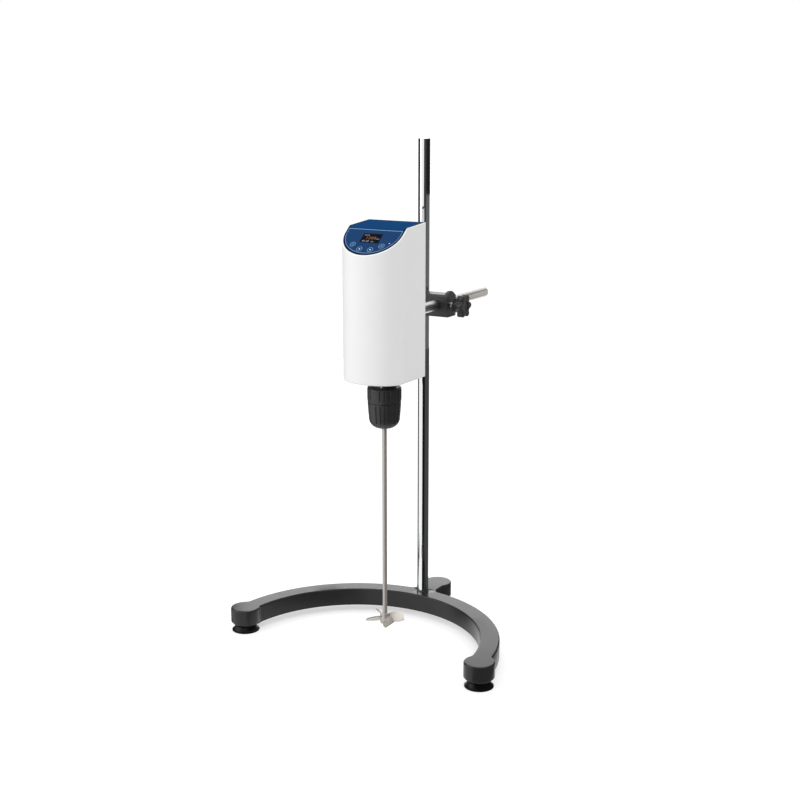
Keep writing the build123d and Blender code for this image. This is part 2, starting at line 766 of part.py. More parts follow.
def chuck_jaw(index):
    """Hardened jaw pin: an inclined cylinder with a flat that bears on the shaft."""
    pin = at_jaw(Pos(0, 0, jaw_length / 2) * Cylinder(jaw_r, jaw_length))
    face_x = shaft_r + jaw_grip_gap
    pin &= block(face_x, face_x + 2 * chuck_r, -chuck_r, chuck_r, jaw_tip_z, chuck_top_z)
    return Pos(head_x, spindle_y, 0) * Rot(0, 0, 120 * index) * pin


def flute_cuts(radius_low, radius_high, low, high, turn=0.0):
    """Groups of three grip flutes cut down a sleeve that narrows from high to low."""
    cuts = []
    lean = degrees(atan((radius_high - radius_low) / (high - low)))
    length = (high - low) / cos(radians(lean))
    centre = (radius_low + radius_high) / 2 + flute_r - flute_depth
    cutter = Pos(centre, 0, (low + high) / 2) * Rot(0, lean, 0) * Cylinder(flute_r, length)
    for i in range(flute_groups):
        for step in (-1, 0, 1):
            cuts.append(Rot(0, 0, turn + 360 * i / flute_groups + step * flute_step) * cutter)
    return cuts


def collar_bar(radius, reach):
    """Round bar through the collar's wall, from the core out to a distance from the axis."""
    middle = (chuck_top_z + collar_top_z) / 2
    return Rot(0, 0, collar_grub_turn) * along_y(0, middle, radius, -reach, -core_hub_r)


def rear_sleeve():
    """Upper grip sleeve, fixed to the core, with a collar that takes the locking screw."""
    outline = Polyline(
        (core_r, chuck_split_z), (chuck_split_r, chuck_split_z), (chuck_r, hub_z), (chuck_r, chuck_top_z - 2.5))
    outline += ThreePointArc(
        (chuck_r, chuck_top_z - 2.5), (chuck_r - 0.75, chuck_top_z - 0.75), (chuck_r - 2.5, chuck_top_z))
    outline += Polyline(
        (chuck_r - 2.5, chuck_top_z), (collar_r, chuck_top_z), (collar_r, collar_top_z), (core_hub_r, collar_top_z),
        (core_hub_r, hub_z), (core_r, hub_z),
        (core_r, chuck_split_z))
    sleeve = turned(outline)
    for cut in flute_cuts(chuck_split_r + 0.3, chuck_r, chuck_split_z + 4.5, chuck_top_z - 3.0, rear_flute_turn):
        sleeve -= cut
    sleeve -= collar_bar(collar_grub_r, 2 * chuck_r)
    return Pos(head_x, spindle_y, 0) * sleeve


def chuck_grub():
    """Small bright screw that locks the chuck on the spindle."""
    return Pos(head_x, spindle_y, 0) * collar_bar(collar_grub_r - 0.05, collar_r - 0.1)


def front_sleeve():
    """Lower grip sleeve: fluted, tapering to a rounded nose, turned by hand to move the jaws."""
    top = chuck_split_z - chuck_split_gap
    height = top - chuck_bottom_z
    shoulder = chuck_bottom_z + 0.26 * height
    waist = (chuck_r - 2.0, chuck_bottom_z + 0.4 * height)
    nose = (chuck_nose_r + 1.2, chuck_bottom_z)
    outline = Polyline(
        (sleeve_bore_r, top), (chuck_split_r, top), (chuck_r - 1.1, chuck_bottom_z + 0.7 * height), waist)
    outline += ThreePointArc(waist, (chuck_r - 3.8, chuck_bottom_z + 0.18 * height), nose)
    outline += Polyline(
        nose, (chuck_nose_r, chuck_bottom_z), (sleeve_bore_r, taper_z + 1.0), (sleeve_bore_r, top))
    sleeve = turned(outline)
    for cut in flute_cuts(chuck_r - 2.4, chuck_split_r - 0.3, shoulder, top - 3.0):
        sleeve -= cut
    return Pos(head_x, spindle_y, 0) * sleeve


# ---- shaft and propeller ----
def stirring_shaft():
    """Stainless shaft from inside the chuck down to the propeller."""
    top = chuck_bottom_z + shaft_top_in_chuck
    shaft = upright(head_x, spindle_y, shaft_r, shaft_low_z, top)
    return chamfer(shaft.edges().filter_by(GeomType.CIRCLE), 0.5)


def propeller():
    """Hub with twisted blades, pitched more at the root than at the tip."""
    middle = propeller_low_z + propeller_hub_height / 2
    hub = upright(0, 0, propeller_hub_r, propeller_low_z, propeller_low_z + propeller_hub_height)
    hub = fillet(hub.edges().filter_by(GeomType.CIRCLE), 0.8)
    root_x = propeller_hub_r - 1.5
    mean_pitch = (blade_root_pitch + blade_tip_pitch) / 2
    stations = (
        (root_x, blade_root_pitch, 0.6), (0.6 * propeller_r, mean_pitch, 1.0), (propeller_r + 1, blade_tip_pitch, 0.9))
    sections = []
    for x, pitch, share in stations:
        chord_dir = (0, cos(radians(pitch)), sin(radians(pitch)))
        section = Plane(origin=(x, 0, middle), x_dir=chord_dir, z_dir=(1, 0, 0))
        sections.append(section * Rectangle(blade_chord * share, blade_thickness))
    blade = loft(sections) & upright(0, 0, propeller_r, middle - blade_chord, middle + blade_chord)
    wheel = hub
    for copy in spun(blade, blade_count, turn=45):
        wheel += copy
    wheel -= upright(0, 0, shaft_r + 0.02, 0, middle * 2)
    wheel -= along_x(0, middle, grub_r + 0.05, 0, propeller_hub_r + 1)
    return Pos(head_x, spindle_y, 0) * wheel


def propeller_screw():
    """Grub screw that locks the propeller on the shaft."""
    middle = propeller_low_z + propeller_hub_height / 2
    return Pos(head_x, spindle_y, 0) * along_x(0, middle, grub_r, shaft_r, propeller_hub_r - 0.2)


# ---- the nodes ----
left_tip_x = -rod_r - knob_tip_gap
right_tip_x = arm_x + arm_r + knob_tip_gap
pad = foot_pad()
screw = foot_screw()
nodes = {
    "base_casting": base_casting(),
    "foot_pad_left": Pos(*foot_places[0], 0) * pad,
    "foot_pad_right": Pos(*foot_places[1], 0) * pad,
    "foot_pad_rear": Pos(*foot_places[2], 0) * pad,
    "foot_screws": group([Pos(x, y, 0) * screw for x, y in foot_places]),
    "stand_rod": stand_rod(),
    "rod_washer": rod_washer(),
    "rod_nut": rod_nut(),
    "clamp_body": clamp_body(),
    "rod_knob_screw": knob_screw(left_tip_x, clamp_left_x),
    "rod_knob": star_knob(clamp_left_x, -1),
    "arm_knob_screw": knob_screw(right_tip_x, clamp_right_x),
    "arm_knob": star_knob(clamp_right_x, 1),
    "arm_rod": arm_rod(),
    "arm_set_screw": arm_set_screw(),
    "head_shell": head_shell(),
    "top_cap": top_cap(),
    "keypad_overlay": keypad_overlay(),
    "display_window": display_window(),
    "display_module": display_module(),
    "control_board": control_board(),
    "board_posts": board_posts(),
    "dome_switches": dome_switches(),
    "rear_cover": rear_cover(),
    "cover_screws": cover_screws(),
    "bottom_plate": bottom_plate(),
    "bottom_screws": bottom_screws(),
    "motor_frame": motor_frame(),
    "lower_bearing": bearing(nose_low_z + bearing_step),
    "upper_bearing": bearing(bell_bearing_low),
    "motor_can": motor_can(),
    "motor_bell": motor_bell(),
    "stator_core": stator_core(),
    "rotor_magnet": rotor_magnet(),
    "spindle": spindle(),
    "drive_board": drive_board(),
    "dc_inlet": dc_inlet(),
    "chuck_body": chuck_body(),
    "chuck_rear_sleeve": rear_sleeve(),
    "chuck_grub": chuck_grub(),
    "chuck_front_sleeve": front_sleeve(),
    "stirring_shaft": stirring_shaft(),
    "propeller": propeller(),
    "propeller_screw": propeller_screw(),
}
for index in range(3):
    nodes[f"chuck_jaw_{index + 1}"] = chuck_jaw(index)
for name, (u, v) in zip(("power", "down", "up", "set"), key_places):
    nodes[f"key_{name}"] = key_button(u, v)

# The finished object is centred on its plan outline: the head's front to the arm's rear end.
middle_y = (head_front_y + arm_rear_y) / 2
os.makedirs("parts", exist_ok=True)
for name, shape in nodes.items():
    export_step(Pos(0, -middle_y, 0) * shape, f"parts/{name}.step")
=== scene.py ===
from math import cos, pi, radians, sin, sqrt, tan

import bmesh
import bpy
from mathutils import Matrix, Vector


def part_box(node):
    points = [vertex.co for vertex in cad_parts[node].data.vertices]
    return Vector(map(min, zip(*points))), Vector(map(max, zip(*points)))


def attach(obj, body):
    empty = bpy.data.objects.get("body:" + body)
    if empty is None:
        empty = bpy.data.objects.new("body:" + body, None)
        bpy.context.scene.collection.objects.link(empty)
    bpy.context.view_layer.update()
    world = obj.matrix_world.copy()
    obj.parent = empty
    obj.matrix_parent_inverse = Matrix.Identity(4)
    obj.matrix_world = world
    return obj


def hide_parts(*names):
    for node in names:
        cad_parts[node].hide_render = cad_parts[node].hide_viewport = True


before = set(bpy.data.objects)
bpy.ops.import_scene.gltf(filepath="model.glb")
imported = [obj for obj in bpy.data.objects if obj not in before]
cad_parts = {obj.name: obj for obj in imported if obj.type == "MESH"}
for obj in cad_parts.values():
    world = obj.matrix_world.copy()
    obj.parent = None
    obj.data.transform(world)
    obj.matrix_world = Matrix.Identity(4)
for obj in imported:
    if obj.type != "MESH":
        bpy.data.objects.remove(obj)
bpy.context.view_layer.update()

mm = 0.001

# ---------------------------------------------------------------- room, lights and camera
# A white sweep under two soft boxes, at a plain level. Bright metal mirrors the white world in
# place of the floor, and dark curved cards round the rod that give it its bands.
bpy.context.scene.view_settings.view_transform = "Standard"


def feed(tree, slot, value):
    """Give a node's input a link, a number or a colour."""
    if isinstance(value, Val):
        tree.links.new(value.socket, slot)
    else:
        slot.default_value = value


class Val:
    """A socket that can be written in sums."""

    def __init__(self, tree, socket):
        self.tree = tree
        self.socket = socket

    def sum_of(self, operation, *values):
        """One Math node over this socket and others, or numbers."""
        node = self.tree.nodes.new("ShaderNodeMath")
        node.operation = operation
        for slot, value in zip(node.inputs, values):
            feed(self.tree, slot, value)
        return Val(self.tree, node.outputs[0])

    def __add__(self, other):
        return self.sum_of("ADD", self, other)

    def __radd__(self, other):
        return self.sum_of("ADD", other, self)

    def __sub__(self, other):
        return self.sum_of("SUBTRACT", self, other)

    def __mul__(self, other):
        return self.sum_of("MULTIPLY", self, other)

    def __rmul__(self, other):
        return self.sum_of("MULTIPLY", other, self)

    def __truediv__(self, other):
        return self.sum_of("DIVIDE", self, other)

    def __rtruediv__(self, other):
        return self.sum_of("DIVIDE", other, self)

    def __pow__(self, other):
        return self.sum_of("POWER", self, other)

    def above(self, other):
        """1 where the value is over a limit."""
        return self.sum_of("GREATER_THAN", self, other)

    def at_least(self, other):
        """The value, or a limit where it is under it."""
        return self.sum_of("MAXIMUM", self, other)


class Nodes:
    """The node tree of a material or of the world."""

    def __init__(self, owner):
        owner.use_nodes = True
        self.tree = owner.node_tree

    def node(self, kind, settings=None, inputs=None, output=0):
        """Any node: its settings first, then its inputs; gives back one of its outputs."""
        made = self.tree.nodes.new(kind)
        for name, value in (settings or {}).items():
            setattr(made, name, value)
        for name, value in (inputs or {}).items():
            feed(self.tree, made.inputs[name], value)
        return Val(self.tree, made.outputs[output])

    def to_the_eye(self):
        """1 for camera, mirror and glass rays, 0 for the light that falls on things."""
        seen = [self.node("ShaderNodeLightPath", output=name)
                for name in ("Is Camera Ray", "Is Glossy Ray", "Is Transmission Ray")]
        return seen[0] + seen[1] + seen[2]


room_light = 0.96
world = bpy.data.worlds.new("studio")
bpy.context.scene.world = world
sky = Nodes(world)
backdrop = sky.tree.nodes["Background"]
feed(sky.tree, backdrop.inputs["Color"], (1, 1, 1, 1))
feed(sky.tree, backdrop.inputs["Strength"], room_light + (1 - room_light) * sky.to_the_eye())

floor_reach = 60.0
floor_white = 0.6
floor_glow = 0.5
floor_mesh = bpy.data.meshes.new("floor")
floor_corners = [(sx * floor_reach, sy * floor_reach, 0) for sx, sy in ((-1, -1), (1, -1), (1, 1), (-1, 1))]
floor_mesh.from_pydata(floor_corners, [], [(0, 1, 2, 3)])
floor = bpy.data.objects.new("floor", floor_mesh)
bpy.context.scene.collection.objects.link(floor)
floor_paint = bpy.data.materials.new("floor_white")
sweep = Nodes(floor_paint)
sweep.tree.nodes.remove(sweep.tree.nodes["Principled BSDF"])
dull = sweep.node("ShaderNodeBsdfDiffuse", inputs={"Color": (floor_white, floor_white, floor_white, 1)})
glow = sweep.node("ShaderNodeEmission", inputs={"Strength": floor_glow * sweep.to_the_eye()})
both = sweep.node("ShaderNodeAddShader", inputs={0: dull, 1: glow})
feed(sweep.tree, sweep.tree.nodes["Material Output"].inputs["Surface"], both)
floor_mesh.materials.append(floor_paint)
floor.visible_glossy = False


def soft_box(name, place, aim, size, power):
    """Rectangular area lamp aimed at a point."""
    lamp = bpy.data.lights.new(name, "AREA")
    lamp.shape = "RECTANGLE"
    lamp.size, lamp.size_y = size
    lamp.energy = power
    box = bpy.data.objects.new(name, lamp)
    box.location = place
    box.rotation_euler = (Vector(aim) - Vector(place)).to_track_quat("-Z", "Y").to_euler()
    bpy.context.scene.collection.objects.link(box)


soft_box("left_box", (-1.5, -1.4, 1.1), (0, 0, 0.45), (1.5, 1.6), 15)
soft_box("top_box", (0.1, 0.4, 2.3), (0, 0, 0.2), (1.7, 1.7), 11)

rod_low, rod_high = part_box("stand_rod")
rod_axis = (rod_low + rod_high) / 2
card_distance, card_low, card_split, card_middle, card_top = 0.42, -0.2, 0.3, 0.55, 0.68


def reflector(name, azimuth_from, azimuth_to, low, high, level, distance=card_distance):
    """Curved card round the rod that shows only in reflections, as an upright band on bright metal."""
    paint = bpy.data.materials.new(name)
    lit = Nodes(paint)
    lit.tree.nodes.remove(lit.tree.nodes["Principled BSDF"])
    feed(lit.tree, lit.tree.nodes["Material Output"].inputs["Surface"], lit.node(
        "ShaderNodeEmission", inputs={"Color": (level, level, level, 1), "Strength": 1.0}))
    steps = 12
    places = []
    for z in (low, high):
        for i in range(steps + 1):
            turn = radians(azimuth_from + (azimuth_to - azimuth_from) * i / steps)
            places.append((rod_axis.x + distance * sin(turn), rod_axis.y - distance * cos(turn), z))
    card_mesh = bpy.data.meshes.new(name)
    card_mesh.from_pydata(places, [], [(i, i + 1, i + steps + 2, i + steps + 1) for i in range(steps)])
    card_mesh.materials.append(paint)
    card = bpy.data.objects.new(name, card_mesh)
    bpy.context.scene.collection.objects.link(card)
    card.visible_camera = False
    card.visible_diffuse = False
    card.visible_shadow = False
    card.visible_transmission = False


reflector("card_behind", -170, -124, low=0.03, high=0.8, level=2.6, distance=1.6)
reflector("card_left_upper", -142, -52, card_split, card_top, level=0.03)
reflector("card_left_lower", -104, -66, card_low, card_split, level=0.03)
reflector("card_front_upper", 22, 66, card_split, card_top, level=0.05)
reflector("card_right_top", 66, 168, card_middle, card_top, level=0.015)
reflector("card_right_middle", 66, 143, card_split, card_middle, level=0.13)
reflector("card_right_edge", 143, 168, card_split, card_middle, level=0.6)
reflector("card_front_lower", 12, 56, card_low, card_split, level=0.008)
reflector("card_right_lower", 56, 168, card_low, card_split, level=0.06)

looks_down, looks_left = 12.95, 30.4
camera_data = bpy.data.cameras.new("camera")
camera_data.sensor_width = 36.0
camera_data.lens = 60.75
camera = bpy.data.objects.new("camera", camera_data)
camera.location = (0.8725, -1.51675, 0.7144)
camera.rotation_euler = (radians(90 - looks_down), 0, radians(looks_left))
bpy.context.scene.collection.objects.link(camera)
bpy.context.scene.camera = camera


# ---------------------------------------------------------------- base casting
# C-shaped iron casting with a boss over each foot, dressed smooth and finished in a dark
# sand-textured powder coat. The stand rod stands in the middle of its arc.
class Finish(Nodes):
    """A Principled material. Fixed values go on the shader's own sockets, patterns as links."""

    def __init__(self, name, colour=None, **fixed):
        self.material = bpy.data.materials.new(name)
        super().__init__(self.material)
        self.shader = self.tree.nodes["Principled BSDF"]
        if colour:
            self.shader.inputs["Base Color"].default_value = (*colour, 1)
        for label, value in fixed.items():
            self.shader.inputs[label.replace("_", " ")].default_value = value

    def place(self, scale=(1, 1, 1)):
        """Object coordinates in millimetres, stretched by a scale."""
        here = self.node("ShaderNodeTexCoord", output="Object")
        return self.node("ShaderNodeMapping", inputs={"Vector": here, "Scale": [s / mm for s in scale]})

    def noise(self, grain, detail=2.0, stretch=(1, 1, 1)):
        """Noise whose lumps are about a grain, in millimetres, in size."""
        return self.node("ShaderNodeTexNoise", inputs={
            "Vector": self.place(stretch), "Scale": 1 / grain, "Detail": detail})

    def mix(self, share, first, second):
        """Colour between two others."""
        return self.node("ShaderNodeMix", {"data_type": "RGBA"},
                         {0: share, 6: (*first, 1), 7: (*second, 1)}, output=2)

    def set(self, label, value):
        """Link a pattern to one of the shader's inputs."""
        feed(self.tree, self.shader.inputs[label], value)

    def bump(self, height, depth):
        """Relief from a height pattern, its full depth in millimetres."""
        self.set("Normal", self.node("ShaderNodeBump", inputs={"Height": height, "Distance": depth * mm}))


def grey(level):
    """An even grey as a colour."""
    return (level, level, level)


def solid(name, mesh, paint, body, stands_for=(), sharp=32):
    """Finish a mesh as a piece: clean, facing out, smooth up to an angle, riding on its body."""
    work = bmesh.new()
    work.from_mesh(mesh)
    bmesh.ops.remove_doubles(work, verts=work.verts, dist=0.004 * mm)
    bmesh.ops.dissolve_degenerate(work, edges=work.edges, dist=0.002 * mm)
    bmesh.ops.recalc_face_normals(work, faces=work.faces)
    work.to_mesh(mesh)
    work.free()
    mesh.materials.clear()
    mesh.materials.append(paint)
    mesh.shade_smooth()
    mesh.set_sharp_from_angle(angle=radians(sharp))
    piece = bpy.data.objects.new(name, mesh)
    bpy.context.scene.collection.objects.link(piece)
    even = piece.modifiers.new("even_normals", "WEIGHTED_NORMAL")
    even.keep_sharp = True
    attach(piece, body)
    if stands_for:
        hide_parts(*stands_for)


def dressed(node, paint, body, sharp=32):
    """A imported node's own shape, merged and smoothed, standing for it in its finish."""
    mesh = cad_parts[node].data.copy()
    mesh.name = node + "_dressed"
    solid(node + "_dressed", mesh, paint, body, (node,), sharp)


coat = Finish("sand_powder_coat", Specular_IOR_Level=0.28)
sand = coat.noise(0.55, 3.0)
wear = coat.noise(38.0, 2.0)
coat.set("Base Color", coat.mix(wear, grey(0.02), grey(0.026)))
coat.set("Roughness", 0.2 + 0.06 * sand + 0.05 * wear)
coat.bump(sand, 0.02)

# The lower edge of arms and bosses reaches a little further down than the solid's.
skirt_drop, ceiling_z = 4.0, 22.0
casting_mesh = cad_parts["base_casting"].data.copy()
for vertex in casting_mesh.vertices:
    if vertex.co.z < ceiling_z * mm:
        vertex.co.z -= skirt_drop * mm
solid("powder_coated_casting", casting_mesh, coat.material, "stand", ["base_casting"])


# ---------------------------------------------------------------- rubber feet and their screws
# Moulded rubber pads with a waisted neck and a flared sucker lip, each held up into the casting
# by a pan-head screw. The nut and washer of the rod's stud sit in a pocket of the same underside.
def lathe(name, outline, rings=96):
    """Mesh of revolution about Z from a closed outline of radius and height in millimetres."""
    points, faces, starts = [], [], []
    for r, h in outline:
        on_axis = r < 1e-6
        starts.append((len(points), on_axis))
        points += [Vector((r * cos(2 * pi * i / rings), r * sin(2 * pi * i / rings), h)) * mm
                   for i in range(1 if on_axis else rings)]
    for (a, a_point), (b, b_point) in zip(starts, starts[1:] + starts[:1]):
        for i in range(rings):
            j = (i + 1) % rings
            corners = ([a] if a_point else [a + i, a + j]) + ([b] if b_point else [b + j, b + i])
            if len(corners) > 2:
                faces.append(corners)
    mesh = bpy.data.meshes.new(name)
    mesh.from_pydata(points, [], faces)
    return mesh


def turned(name, outline, paint, body, stands_for, at=(0, 0, 0), tilt=Matrix(), rings=96):
    """Piece of revolution, tilted from the upright and set at a place in millimetres."""
    mesh = lathe(name, outline, rings)
    mesh.transform(Matrix.Translation(Vector(at) * mm) @ tilt)
    solid(name, mesh, paint, body, stands_for)


rubber = Finish("foot_rubber", Specular_IOR_Level=0.14)
bloom = rubber.noise(9.0, 3.0)
rubber.set("Base Color", rubber.mix(bloom, grey(0.003), grey(0.006)))
rubber.set("Roughness", 0.22 + 0.2 * bloom)
rubber.bump(rubber.noise(0.8, 2.0), 0.03)

foot_top, waist_z, screw_seat, cup_height = 8.5, 6.9, 5.6, 1.4
bore_r, well_r, waist_r, collar_out, lip_r = 3.3, 6.6, 14.0, 15.5, 18.4
foot_outline = [(bore_r, screw_seat), (bore_r, foot_top), (collar_out - 0.1, foot_top)]
foot_outline += [(collar_out, foot_top - 0.1), (collar_out - 0.3, 8.1), (waist_r + 0.2, 7.2)]
foot_outline += [(waist_r, waist_z), (waist_r + 0.2, 6.5), (14.8, 5.6), (15.0, 5.1), (15.4, 4.2), (15.9, 3.3)]
foot_outline += [(16.8, 2.3), (17.8, 1.6), (lip_r - 0.1, 1.3), (lip_r, 1.0), (lip_r, 0.2), (lip_r - 0.2, 0.0)]
foot_outline += [(lip_r - 2.0, 0.0), (lip_r - 2.4, 0.15)]
foot_outline += [(well_r + 0.2, cup_height), (well_r, cup_height + 0.2), (well_r, screw_seat)]
for side in ("left", "right", "rear"):
    low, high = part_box("foot_pad_" + side)
    middle = (low + high) / 2 / mm
    turned("rubber_foot_" + side, foot_outline, rubber.material, "stand", ["foot_pad_" + side],
           (middle.x, middle.y, 0))

zinc = Finish("zinc_plate", Metallic=1.0)
spangle = zinc.noise(1.6, 3.0)
zinc.set("Base Color", zinc.mix(spangle, (0.5, 0.5, 0.52), grey(0.7)))
zinc.set("Roughness", 0.22 + 0.2 * spangle)
dressed("foot_screws", zinc.material, "stand")
dressed("rod_washer", zinc.material, "stand")
dressed("rod_nut", zinc.material, "stand")

# ---------------------------------------------------------------- stand rod
# Ground steel bar with bright chrome plate and a chamfered top, drawn down by the threaded
# stud at its foot.
chrome = Finish("chrome_plate", Metallic=1.0)
haze = chrome.noise(60.0, 2.0, (3, 3, 0.4))
chrome.set("Base Color", chrome.mix(haze, (0.82, 0.83, 0.84), (0.9, 0.905, 0.91)))
chrome.set("Roughness", 0.03 + 0.05 * haze)

stud_low, rod_top = rod_low.z / mm, rod_high.z / mm
stud_r, stud_chamfer, shoulder_z, rod_r = 5.0, 0.6, 26.5, 8.0
rod_outline = [(0, stud_low), (stud_r - stud_chamfer, stud_low), (stud_r, stud_low + stud_chamfer)]
rod_outline += [(stud_r, shoulder_z), (rod_r, shoulder_z), (rod_r, rod_top - 1.2)]
rod_outline += [(rod_r - 0.15, rod_top - 0.8), (rod_r - 1.1, rod_top - 0.05)]
rod_outline += [(rod_r - 1.4, rod_top), (0, rod_top)]
turned("chromed_rod", rod_outline, chrome.material, "stand", ["stand_rod"],
       (0, rod_axis.y / mm, 0), rings=128)

# ---------------------------------------------------------------- boss-head clamp
# Die-cast bar bored for the rod and the arm, bevelled along its top, with an ear at each end
# for the clamping screws, in satin black paint.
black = Finish("satin_black_paint")
orange_peel = black.noise(1.4, 2.0)
black.set("Base Color", black.mix(orange_peel, (0.011, 0.011, 0.012), (0.02, 0.02, 0.021)))
black.set("Roughness", 0.3 + 0.14 * orange_peel)
black.bump(orange_peel, 0.03)
dressed("clamp_body", black.material, "clamp")

# ---------------------------------------------------------------- star knobs and clamping screws
# Six-lobed grips moulded in glass-filled nylon over the ends of plated screws. One bears on the
# stand rod, the other on the arm.
nylon = Finish("black_nylon")
flow = nylon.noise(2.2, 4.0)
nylon.set("Base Color", nylon.mix(flow, grey(0.012), grey(0.024)))
nylon.set("Roughness", 0.32 + 0.18 * flow)
nylon.bump(nylon.noise(0.5, 2.0), 0.03)
for place in ("rod", "arm"):
    dressed(place + "_knob", nylon.material, place + "_knob")
    dressed(place + "_knob_screw", chrome.material, place + "_knob")

# ---------------------------------------------------------------- arm
# Turned and brushed steel rod, pinned in the head's socket by a grub screw, with its free end
# chamfered behind the clamp.
brushed = Finish("brushed_steel", Metallic=1.0)
lines = brushed.noise(1.0, 3.0, (0.25, 3.2, 0.25))
brushed.set("Base Color", brushed.mix(lines, (0.58, 0.55, 0.52), (0.84, 0.81, 0.78)))
brushed.set("Roughness", 0.2 + 0.22 * lines)
brushed.bump(lines, 0.015)

arm_x, arm_z, arm_r, arm_front, arm_rear = 24.0, 438.5, 7.0, -80.0, 162.0
rearward = Matrix.Rotation(radians(-90), 4, "X")
arm_outline = [(0, arm_front), (arm_r, arm_front), (arm_r, arm_rear - 1), (arm_r - 0.2, arm_rear - 0.7)]
arm_outline += [(arm_r - 0.8, arm_rear - 0.1), (arm_r - 1, arm_rear), (0, arm_rear)]
turned("brushed_arm", arm_outline, brushed.material, "head", ["arm_rod"],
       (arm_x, 0, arm_z), rearward)
dressed("arm_set_screw", zinc.material, "head")

# ---------------------------------------------------------------- motor frame and motor
# Cast aluminium frame with the bearing nose below and the arm's socket behind; on its shelf a
# steel can with laminated stator, magnet rotor, end bell and two ball bearings.
cast = Finish("cast_aluminium", Metallic=1.0)
skin = cast.noise(1.2, 4.0)
cast.set("Base Color", cast.mix(skin, (0.5, 0.51, 0.52), (0.72, 0.73, 0.74)))
cast.set("Roughness", 0.34 + 0.2 * skin)
cast.bump(skin, 0.04)
dressed("motor_frame", cast.material, "head")
dressed("motor_bell", cast.material, "head")

can_paint = Finish("motor_can_paint", (0.02, 0.02, 0.022))
can_paint.set("Roughness", 0.28 + 0.16 * can_paint.noise(5.0))
dressed("motor_can", can_paint.material, "head")

ground = Finish("ground_steel", Metallic=1.0)
hone = ground.noise(0.9, 3.0, (0.3, 0.3, 3.0))
ground.set("Base Color", ground.mix(hone, (0.5, 0.49, 0.48), (0.7, 0.69, 0.68)))
ground.set("Roughness", 0.16 + 0.16 * hone)
dressed("lower_bearing", ground.material, "head")
dressed("upper_bearing", ground.material, "head")
dressed("spindle", ground.material, "spindle")

iron = Finish("laminated_iron", Metallic=0.8, Roughness=0.5)
sheets = iron.node("ShaderNodeTexWave", {"bands_direction": "Z"}, {"Vector": iron.place(), "Scale": 0.6})
iron.set("Base Color", iron.mix(sheets, (0.06, 0.06, 0.065), (0.2, 0.2, 0.21)))
dressed("stator_core", iron.material, "head")
magnet = Finish("plated_magnet", grey(0.3), Metallic=1.0)
magnet.set("Roughness", 0.28 + 0.2 * magnet.noise(3.0))
dressed("rotor_magnet", magnet.material, "spindle")

# ---------------------------------------------------------------- circuit boards
# Green drive board on the frame's back plate and control board under the lid, with dome
# switches, display block and moulded spacers.
board = Finish("solder_resist")
tracks = board.node("ShaderNodeTexBrick", {"offset": 0.5}, {
    "Vector": board.place(), "Scale": 0.25, "Mortar Size": 0.03}, output="Fac")
board.set("Base Color", board.mix(tracks, (0.006, 0.085, 0.03), (0.02, 0.19, 0.08)))
board.set("Roughness", 0.3 + 0.15 * board.noise(2.0))
dressed("control_board", board.material, "head")
dressed("drive_board", board.material, "head")
dark = Finish("dark_moulding", grey(0.02))
dark.set("Roughness", 0.38 + 0.2 * dark.noise(1.5))
dressed("dome_switches", dark.material, "head")
dressed("dc_inlet", dark.material, "head")
dressed("display_module", dark.material, "head")
natural = Finish("natural_nylon", (0.7, 0.7, 0.66))
natural.set("Roughness", 0.42 + 0.16 * natural.noise(2.0))
dressed("board_posts", natural.material, "head")

# ---------------------------------------------------------------- head shell
# Glossy white moulding, D-shaped in plan and open behind: flat sides, an elliptical nose and a
# thin rim that stands round the lid. Four posts inside take the cover's screws.
white = Finish("white_moulding", Specular_IOR_Level=0.35)
moulded = white.noise(24.0, 2.0)
white.set("Base Color", white.mix(moulded, (0.83, 0.83, 0.835), (0.86, 0.86, 0.862)))
white.set("Roughness", 0.3 + 0.06 * moulded)
white.bump(white.noise(2.5, 2.0), 0.003)

shell_low, shell_high = (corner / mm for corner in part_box("head_shell"))
head_x = (shell_low.x + shell_high.x) / 2
head_half = (shell_high.x - shell_low.x) / 2
head_rear, head_low, head_high = shell_high.y, shell_low.z, shell_high.z
nose_depth = 30.0
flat_front = shell_low.y + nose_depth
roof_pitch, panel_pitch, crease_r = 4.5, 39.0, 6.0
roof_length = 45.2
crease_y = head_rear - roof_length
crease_z = head_high - tan(radians(roof_pitch)) * (head_rear - crease_y)
wall, rim, lid_thickness = 3.0, 1.5, 3.0
lower_edge_r, corner_r = 2.2, 2.0


def roof_height(y, depth=0.0):
    """Height of the roof, or of a surface a depth under it, at a place front to rear."""
    gentle, steep = radians(roof_pitch), radians(panel_pitch)
    ridge = crease_y + depth * (1 / cos(gentle) - 1 / cos(steep)) / (tan(gentle) - tan(steep))
    ridge_z = crease_z + tan(gentle) * (ridge - crease_y) - depth / cos(gentle)
    radius = crease_r - depth
    cut = radius * tan((steep - gentle) / 2)
    low, high = ridge - cut * cos(steep), ridge + cut * cos(gentle)
    if y <= low:
        return ridge_z + tan(steep) * (y - ridge)
    if y >= high:
        return ridge_z + tan(gentle) * (y - ridge)
    centre_y = high + radius * sin(gentle)
    centre_z = ridge_z + tan(gentle) * (high - ridge) - radius * cos(gentle)
    return centre_z + sqrt(radius ** 2 - (y - centre_y) ** 2)


corner_stops = [0.0, 0.15, 0.6, 1.2, 2.0]
flat_stops = [6.0, 14.0, 22.0, 30.0, 36.0, 40.0]
crease_stops = [41.6 + 0.4 * i for i in range(16)] + [49.0, 51.0, 52.8]


def head_path(inset, back=None):
    """Points round the D plan, drawn in from its walls, and cut off straight at a place behind."""
    half = head_half - inset
    right = [(head_x + half, head_rear - stop) for stop in corner_stops + flat_stops + crease_stops]
    nose = [(head_x + half * cos(radians(2 * i)), flat_front - (nose_depth - inset) * sin(radians(2 * i)))
            for i in range(91)]
    points = right + nose + [(2 * head_x - x, y) for x, y in reversed(right)]
    return [(x, y if back is None else min(y, back)) for x, y in points]


